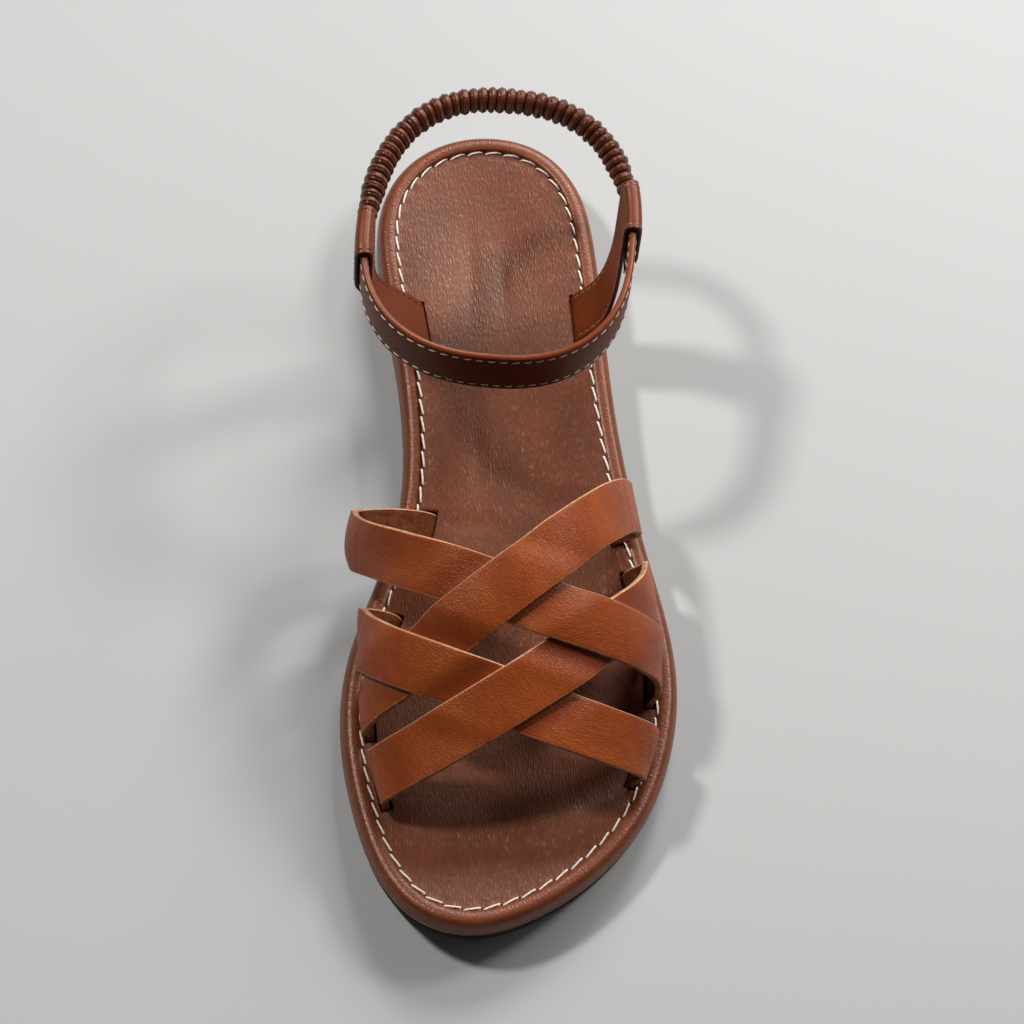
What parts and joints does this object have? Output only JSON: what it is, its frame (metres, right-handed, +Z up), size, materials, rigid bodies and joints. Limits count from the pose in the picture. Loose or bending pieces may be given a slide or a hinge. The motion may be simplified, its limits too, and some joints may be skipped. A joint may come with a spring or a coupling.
{
  "type": "strappy flat sandal",
  "caption": "Left flat leather sandal: woven vamp straps through a stitched footbed with a rolled rim, ankle strap held by two quarter straps, gathered elastic heel strap.",
  "frame": {"origin": "middle of the sandal's box, at the floor it stands on", "axes": "+Z up, -Y towards the toe, +Y towards the heel, -X towards the inner side of the left foot"},
  "size_m": [0.0944, 0.2478, 0.0805],
  "materials": {
    "outsole_rubber": "matt moulded rubber",
    "rim_leather": "smooth brown leather wrapped over the rim, soft shine",
    "footbed_leather": "finely wrinkled brown leather, satin",
    "strap_leather": "tan grain leather with raw cut edges, satin",
    "quarter_leather": "brown grain leather, stitched edges",
    "band_leather": "dark brown leather, stitched edges",
    "gathered_leather": "soft gathered leather over elastic, glossy",
    "stitch_thread": "waxed cream thread"
  },
  "bodies": {
    "root": {"outsole": "outsole_rubber", "midsole": "rim_leather", "insole": "footbed_leather", "vamp_upper": "strap_leather", "quarter_strap_inner": "quarter_leather", "quarter_strap_outer": "quarter_leather", "instep_band": "band_leather", "heel_strap": "gathered_leather"}
  },
  "joints": []
}
